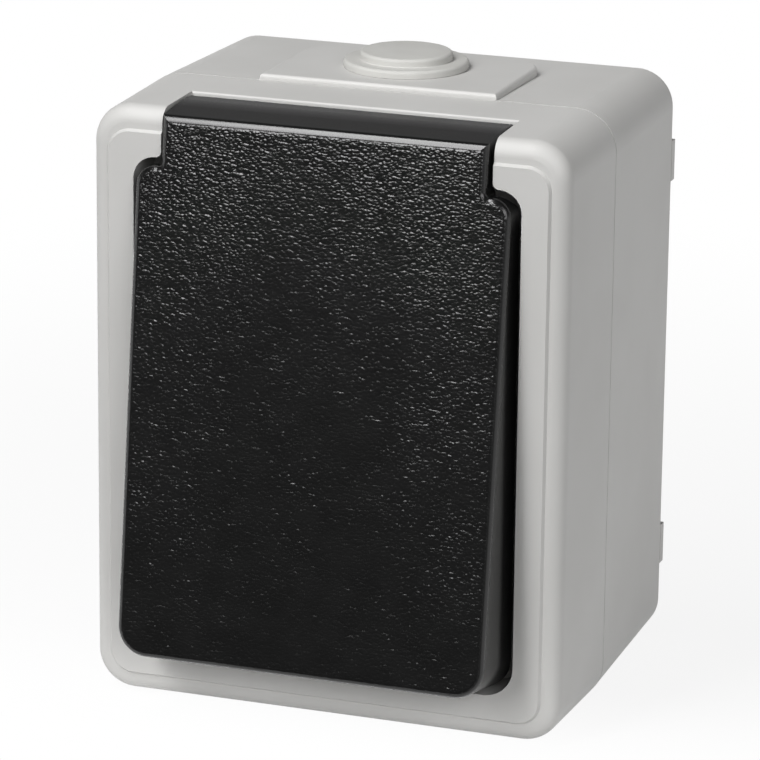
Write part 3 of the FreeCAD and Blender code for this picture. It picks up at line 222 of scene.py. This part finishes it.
card = bpy.data.materials.new("floor_card")
card.use_nodes = True
card.node_tree.nodes.clear()
ground = Signal(card.node_tree)
matt = ground.node("ShaderNodeBsdfDiffuse", sockets={"Color": (CARD, CARD, CARD, 1.0)})
bright = ground.node("ShaderNodeEmission", sockets={"Color": (1.0, 1.0, 1.0, 1.0), "Strength": SWEEP_WHITE})
on_floor = ground.node("ShaderNodeTexCoord", out="Object")
away = ground.node("ShaderNodeVectorMath", {"operation": "LENGTH"}, {0: on_floor}, out="Value")
forward = -on_floor.part("Y")
outskirts = away.rise(*GLOW_GROWS_AROUND).math("MAXIMUM", forward.rise(*GLOW_GROWS_FORWARD))
glow = sees_white(ground) * outskirts.between(CARD_GLOW, 1.0)
paper = ground.node("ShaderNodeMixShader", sockets={0: glow, 1: matt, 2: bright})
ground.node("ShaderNodeOutputMaterial", sockets={"Surface": paper})
floor_mesh.materials.append(card)


# Lamps: a tall narrow softbox up to the left, which the flap's rounded top edge and its grain mirror,
# and a broad weak one up to the right, which fills the front and opens the shaded side.
def softbox(name, sideways, lift, distance, width, height, radiance):
    """A rectangular lamp that faces the socket, with its height square to the X axis.

    Its direction is (s, -c cos a, c sin a), with s the share to the right, c = sqrt(1 - s^2) and a the lift.
    Its power is pi times its area times its radiance.
    """
    angle = math.radians(lift)
    off_axis = math.sqrt(1.0 - sideways * sideways)
    towards = Vector((sideways, -off_axis * math.cos(angle), off_axis * math.sin(angle)))
    upwards = Vector((0.0, math.sin(angle), math.cos(angle)))
    rightwards = upwards.cross(towards)
    lamp = bpy.data.lights.new(name, "AREA")
    lamp.shape = "RECTANGLE"
    lamp.size = width
    lamp.size_y = height
    lamp.energy = math.pi * width * height * radiance
    holder = bpy.data.objects.new(name, lamp)
    holder.matrix_world = Matrix.Translation(AIM + distance * towards) @ Matrix(
        (rightwards, upwards, towards)
    ).transposed().to_4x4()
    bpy.context.scene.collection.objects.link(holder)


softbox("key_softbox", sideways=-0.32, lift=51.0, distance=0.90, width=0.18, height=1.30, radiance=15.0)
softbox("side_softbox", sideways=0.58, lift=30.0, distance=1.10, width=0.70, height=0.60, radiance=3.9)


# Housing: two shells, the rear base and the cover, moulded in light grey plastic.
# The mould is finely eroded, which leaves a satin skin with a barely visible texture.
HOUSING_GREY = (0.530, 0.525, 0.512)
HOUSING_GREY_PALE = (0.555, 0.550, 0.538)
HOUSING_CLOUD = 0.018
HOUSING_SHEEN_PATCH = 0.0035
ERODED_PIT = 0.00028
ERODED_DEPTH = 0.000006


def new_finish(name):
    """An empty material, the start of its node maths, and the place on the piece in metres."""
    material = bpy.data.materials.new(name)
    material.use_nodes = True
    material.node_tree.nodes.clear()
    start = Signal(material.node_tree)
    return material, start, start.node("ShaderNodeTexCoord", out="Object")


def close_finish(start, **sockets):
    """Ends a material in one surface shader; a name's underscores stand for spaces."""
    surface = start.node(
        "ShaderNodeBsdfPrincipled", sockets={name.replace("_", " "): value for name, value in sockets.items()}
    )
    start.node("ShaderNodeOutputMaterial", sockets={"Surface": surface})


def noise(place, feature, detail=2.0, out="Fac"):
    """Cloudy noise with lumps about feature metres across."""
    return place.node(
        "ShaderNodeTexNoise", sockets={"Vector": place, "Scale": 1.0 / feature, "Detail": detail}, out=out
    )


def mottled(place, feature, low, high, detail=2.0, shares=(0.3, 0.7)):
    """A colour that wanders from low to high in clouds about feature metres across."""
    return noise(place, feature, detail).rise(*shares).blended(low, high)


def relief(height, depth):
    """Turns a height from 0 to 1 into a tilt of the surface, for a relief that is depth metres deep."""
    return height.node(
        "ShaderNodeBump", sockets={"Height": height, "Distance": depth, "Strength": 1.0}, out="Normal"
    )


def dress(material, *names):
    """Gives a finish to CAD nodes through their own material slots."""
    for name in names:
        for slot in nodes[name].material_slots:
            slot.material = material


housing_grey, start, place = new_finish("housing_grey")
close_finish(
    start,
    Base_Color=mottled(place, HOUSING_CLOUD, HOUSING_GREY, HOUSING_GREY_PALE),
    Roughness=noise(place, HOUSING_SHEEN_PATCH).between(0.46, 0.52),
    Normal=relief(noise(place, ERODED_PIT, detail=1.0), ERODED_DEPTH),
)
dress(housing_grey, "rear_base", "cover_frame")


# Grommet: a stepped disc of soft grey plastic that plugs the cable entry until a cable is fitted.
# It is moulded in one piece and turned in form, hollow below, with softly rounded edges,
# and its lip snaps in under the wall of the rear base.
GROMMET_GREY = (0.500, 0.496, 0.475)
GROMMET_GREY_PALE = (0.530, 0.526, 0.505)
GROMMET_CLOUD = 0.006
GROMMET_SHEEN_PATCH = 0.002
GROMMET_PIT = 0.0004
GROMMET_PIT_DEPTH = 0.000010
GROMMET_EDGE = 0.00045
GROMMET_INNER_EDGE = GROMMET_EDGE / 3
GROMMET_CREASE = GROMMET_EDGE / 4
GROMMET_STEP = 0.0011
GROMMET_DOME = 0.0062
GROMMET_BORE = 0.0047
GROMMET_NECK = 0.00645
GROMMET_LIP = 0.0074
GROMMET_LIP_HEIGHT = 0.0012
GROMMET_SKIN = 0.0010


def rounded_profile(corners, steps=8):
    """Points along an open outline of corners (across, up, radius), with a tangent arc at each corner.

    An arc's point at the share t is centre + (sin((1 - t) w) first + sin(t w) last) / sin w, where w is
    its opening, and first and last are its ends as seen from the centre.
    """
    share = np.linspace(0.0, 1.0, steps)[:, None]
    stretches = [np.array([corners[0][:2]])]
    for before, here, after in zip(corners, corners[1:], corners[2:]):
        corner = np.array(here[:2])
        radius = here[2]
        back = np.array(before[:2]) - corner
        back = back / np.linalg.norm(back)
        ahead = np.array(after[:2]) - corner
        ahead = ahead / np.linalg.norm(ahead)
        # The centre lies on the corner's bisector, and the ends where the radius meets the two sides
        half = math.acos(float(np.dot(back, ahead))) / 2
        centre = corner + (back + ahead) / np.linalg.norm(back + ahead) * radius / math.sin(half)
        first = corner + back * radius / math.tan(half) - centre
        last = corner + ahead * radius / math.tan(half) - centre
        opening = math.pi - 2 * half
        arc = (np.sin((1 - share) * opening) * first + np.sin(share * opening) * last) / math.sin(opening)
        stretches.append(centre + arc)
    stretches.append(np.array([corners[-1][:2]]))
    return np.concatenate(stretches)


def turned(name, profile, centre, segments=160):
    """Closed piece turned about a vertical axis: x = r cos a, y = r sin a, z = height along the profile.

    The profile starts on the axis at the top and ends on it below, and its two ends become single points.
    """
    angles = np.linspace(0.0, 2 * math.pi, segments, endpoint=False)
    radius = profile[1:-1, 0][:, None]
    up = profile[1:-1, 1][:, None]
    rings = np.stack(
        [centre[0] + radius * np.cos(angles), centre[1] + radius * np.sin(angles), up + 0 * angles], axis=-1
    )
    ends = [(*centre, profile[0, 1]), (*centre, profile[-1, 1])]
    points = np.concatenate([rings.reshape(-1, 3), ends])

    here = np.arange(segments)
    onward = (here + 1) % segments
    upper = np.arange(len(radius) - 1)[:, None] * segments
    lower = upper + segments
    walls = np.stack([upper + here, lower + here, lower + onward, upper + onward], axis=-1).reshape(-1, 4)
    last_ring = (len(radius) - 1) * segments
    top = np.full(segments, len(points) - 2)
    bottom = np.full(segments, len(points) - 1)
    top_fan = np.stack([top, here, onward], axis=-1)
    bottom_fan = np.stack([bottom, last_ring + onward, last_ring + here], axis=-1)

    mesh = bpy.data.meshes.new(name)
    mesh.from_pydata(points.tolist(), [], walls.tolist() + top_fan.tolist() + bottom_fan.tolist())
    mesh.polygons.foreach_set("use_smooth", [True] * len(mesh.polygons))
    piece = bpy.data.objects.new(name, mesh)
    bpy.context.scene.collection.objects.link(piece)
    return piece


low_corner, high_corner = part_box("cable_grommet")
flange = (high_corner.x - low_corner.x) / 2
dome_top = high_corner.z
flange_top = dome_top - GROMMET_STEP
plate_top = flange_top - GROMMET_STEP
under_skin = dome_top - GROMMET_SKIN
lip_bottom = low_corner.z
lip_top = lip_bottom + GROMMET_LIP_HEIGHT
grommet_profile = rounded_profile([
    (0.0, dome_top),
    (GROMMET_DOME, dome_top, GROMMET_EDGE),
    (GROMMET_DOME, flange_top, GROMMET_INNER_EDGE),
    (flange, flange_top, GROMMET_EDGE),
    (flange, plate_top, GROMMET_CREASE),
    (GROMMET_NECK, plate_top, GROMMET_CREASE),
    (GROMMET_NECK, lip_top, GROMMET_CREASE),
    (GROMMET_LIP, lip_top, GROMMET_INNER_EDGE),
    (GROMMET_LIP, lip_bottom, GROMMET_EDGE),
    (GROMMET_BORE, lip_bottom, GROMMET_INNER_EDGE),
    (GROMMET_BORE, under_skin, GROMMET_EDGE),
    (0.0, under_skin),
])
grommet_centre = ((low_corner.x + high_corner.x) / 2, (low_corner.y + high_corner.y) / 2)
grommet = turned("rounded_grommet", grommet_profile, grommet_centre)
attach(grommet, "housing")
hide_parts("cable_grommet")

grommet_grey, start, place = new_finish("grommet_grey")
close_finish(
    start,
    Base_Color=mottled(place, GROMMET_CLOUD, GROMMET_GREY, GROMMET_GREY_PALE),
    Roughness=noise(place, GROMMET_SHEEN_PATCH).between(0.56, 0.64),
    Normal=relief(noise(place, GROMMET_PIT), GROMMET_PIT_DEPTH),
)
grommet.data.materials.append(grommet_grey)


# Contacts and terminals: brass, slightly dulled by handling.
# The sleeves and their strips are stamped and bent, and the terminal blocks are cut from bar and drilled.
BRASS = (0.62, 0.45, 0.19)
BRASS_DULL = (0.44, 0.31, 0.13)
BRASS_CLOUD = 0.0025
BRASS_SMEAR = 0.0012
BRASS_PIT = 0.0005
BRASS_PIT_DEPTH = 0.000005

brass, start, place = new_finish("plain_brass")
close_finish(
    start,
    Base_Color=mottled(place, BRASS_CLOUD, BRASS_DULL, BRASS, detail=3.0, shares=(0.3, 0.75)),
    Metallic=1.0,
    Roughness=noise(place, BRASS_SMEAR, detail=3.0).between(0.28, 0.46),
    Normal=relief(noise(place, BRASS_PIT), BRASS_PIT_DEPTH),
)
dress(brass, "live_contact", "neutral_contact", "live_terminal", "neutral_terminal", "earth_terminal")


# Earth strap: nickel-plated bronze strip, bent into two springy clips at the well's top and bottom.
# It is held between the well's floor and the contact carrier, and its rolling marks run along it.
NICKEL = (0.66, 0.64, 0.59)
NICKEL_DULL = (0.50, 0.48, 0.44)
NICKEL_CLOUD = 0.003
ROLLING_MARK = 0.0015
ROLLING_RIDGE = 0.0008
ROLLING_DEPTH = 0.000004
ROLLING_NARROWS = (6.0, 1.0, 1.0)

nickel, start, place = new_finish("nickel_strip")
rolled = place.node("ShaderNodeMapping", sockets={"Vector": place, "Scale": ROLLING_NARROWS})
close_finish(
    start,
    Base_Color=mottled(place, NICKEL_CLOUD, NICKEL_DULL, NICKEL, detail=3.0),
    Metallic=1.0,
    Roughness=noise(rolled, ROLLING_MARK, detail=3.0).between(0.22, 0.36),
    Normal=relief(noise(rolled, ROLLING_RIDGE), ROLLING_DEPTH),
)
dress(nickel, "earth_strap")


# Well and carriers: heat-proof pale grey plastic, pressed in polished moulds.
# The well takes the plug's round body, and the carriers behind its floor hold the contacts and the terminals.
INSERT_GREY = (0.560, 0.555, 0.535)
INSERT_GREY_PALE = (0.590, 0.585, 0.565)
INSERT_CLOUD = 0.012
INSERT_SHEEN_PATCH = 0.003
INSERT_PIT = 0.0005
INSERT_PIT_DEPTH = 0.000004

insert_grey, start, place = new_finish("insert_grey")
close_finish(
    start,
    Base_Color=mottled(place, INSERT_CLOUD, INSERT_GREY, INSERT_GREY_PALE),
    Roughness=noise(place, INSERT_SHEEN_PATCH).between(0.30, 0.38),
    Normal=relief(noise(place, INSERT_PIT, detail=1.0), INSERT_PIT_DEPTH),
)
dress(insert_grey, "socket_insert", "contact_carrier", "carrier_cover")


# Seals: black rubber cords and rings, in the housing's groove, round the well's collar and inside the flap.
# They are matt, with the faint bloom of moulded rubber.
RUBBER_BLACK = (0.018, 0.018, 0.018)
RUBBER_BLOOM = (0.032, 0.032, 0.031)
RUBBER_CLOUD = 0.0012
RUBBER_SHEEN_PATCH = 0.001
RUBBER_PIT = 0.0002
RUBBER_PIT_DEPTH = 0.000012

seal_black, start, place = new_finish("seal_black")
close_finish(
    start,
    Base_Color=mottled(place, RUBBER_CLOUD, RUBBER_BLACK, RUBBER_BLOOM, detail=3.0, shares=(0.35, 0.75)),
    Roughness=noise(place, RUBBER_SHEEN_PATCH).between(0.72, 0.82),
    Normal=relief(noise(place, RUBBER_PIT), RUBBER_PIT_DEPTH),
)
dress(seal_black, "housing_gasket", "collar_seal", "lid_gasket")


# Steel parts: screws, hinge pin and spring, zinc plated.
# Fine turning marks run round the screws' shanks, which all stand along Y.
ZINC = (0.58, 0.585, 0.60)
ZINC_DULL = (0.44, 0.445, 0.46)
ZINC_CLOUD = 0.0015
TURNING_MARK = 0.0012
TURNING_RIDGE = 0.0006
TURNING_DEPTH = 0.000006
TURNING_NARROWS = (1.0, 8.0, 1.0)

steel, start, place = new_finish("zinc_steel")
streaks = place.node("ShaderNodeMapping", sockets={"Vector": place, "Scale": TURNING_NARROWS})
close_finish(
    start,
    Base_Color=mottled(place, ZINC_CLOUD, ZINC_DULL, ZINC, detail=3.0, shares=(0.35, 0.7)),
    Metallic=1.0,
    Roughness=noise(streaks, TURNING_MARK, detail=3.0).between(0.26, 0.42),
    Normal=relief(noise(streaks, TURNING_RIDGE), TURNING_DEPTH),
)
dress(
    steel, "hinge_pin", "lid_spring", "cover_screws", "insert_screws", "carrier_screw",
    "live_screw", "neutral_screw", "earth_screw",
)


# Flap: one black moulding whose front carries a leather grain and whose top, sides and inside are smooth.
# The grain is flat pebbles, wider than they are tall, and stops where the edges start to round off.
# It is deeper towards the flap's top and sides, and shallower in the middle and below.
FLAP_BLACK = (0.0055, 0.0055, 0.0055)
FLAP_BLACK_PALE = (0.0074, 0.0074, 0.0074)
FLAP_CLOUD = 0.004
FLAP_SHEEN = 0.5
FLAP_SMOOTH_ROUGHNESS = 0.21
FLAP_GRAIN_ROUGHNESS = 0.19
FLAP_TILT = math.radians(7.17)
FLAP_FRONT_AT_ORIGIN_LEVEL = 0.0548
GRAIN_ENDS_BEHIND_FRONT = (0.00002, 0.00012)
GRAIN_ENDS_UP = (0.0386, 0.0390)
PEBBLE = 0.0006
PEBBLE_FLATTENING = 1.75
PEBBLE_RELIEF = 0.000074
BEND = 0.0011
BEND_REACH = 0.0005
GRAIN_BASE = 0.32
GRAIN_PATCHES = 0.12
GRAIN_DEEPER_UP = 0.28
GRAIN_DEEPER_OUT = 0.15
PATCH = 0.011
PATCH_SHARES = (0.3, 0.7)
UPPER_PART = (0.014, 0.042)
OUTER_PART = (0.004, 0.020)
UNEVEN_SPOT = 0.0022
UNEVEN_SHARES = (0.6, 1.4)
SKIN_PIT = 0.0002
SKIN_SHARE = 0.012

flap_black, start, place = new_finish("flap_black")
sideways = place.part("X").math("ABSOLUTE")
upward = place.part("Z")
behind_front = place.part("Y") + (FLAP_FRONT_AT_ORIGIN_LEVEL - math.tan(FLAP_TILT) * upward)
grained = (1.0 - behind_front.rise(*GRAIN_ENDS_BEHIND_FRONT)) * (1.0 - upward.rise(*GRAIN_ENDS_UP))
bent = place.node(
    "ShaderNodeVectorMath",
    {"operation": "MULTIPLY_ADD"},
    {0: noise(place, BEND, detail=1.0, out="Color"), 1: (BEND_REACH, BEND_REACH, BEND_REACH), 2: place},
)
flattened = bent.node("ShaderNodeMapping", sockets={"Vector": bent, "Scale": (1.0, 1.0, PEBBLE_FLATTENING)})
from_middle = flattened.node(
    "ShaderNodeTexVoronoi", {"feature": "F1"}, {"Vector": flattened, "Scale": 1.0 / PEBBLE}, out="Distance"
)
pebbles = 1.0 - from_middle * from_middle
grain_depth = GRAIN_BASE + GRAIN_PATCHES * noise(place, PATCH, detail=1.0).rise(*PATCH_SHARES)
grain_depth = grain_depth + GRAIN_DEEPER_UP * upward.rise(*UPPER_PART)
grain_depth = grain_depth + GRAIN_DEEPER_OUT * sideways.rise(*OUTER_PART)
grain = pebbles * grained * grain_depth * noise(place, UNEVEN_SPOT, detail=1.0).between(*UNEVEN_SHARES)
skin = noise(place, SKIN_PIT, detail=1.0) * SKIN_SHARE
close_finish(
    start,
    Base_Color=mottled(place, FLAP_CLOUD, FLAP_BLACK, FLAP_BLACK_PALE),
    Roughness=grained.between(FLAP_SMOOTH_ROUGHNESS, FLAP_GRAIN_ROUGHNESS),
    Specular_IOR_Level=FLAP_SHEEN,
    Normal=relief(grain + skin, PEBBLE_RELIEF),
)
dress(flap_black, "lid")
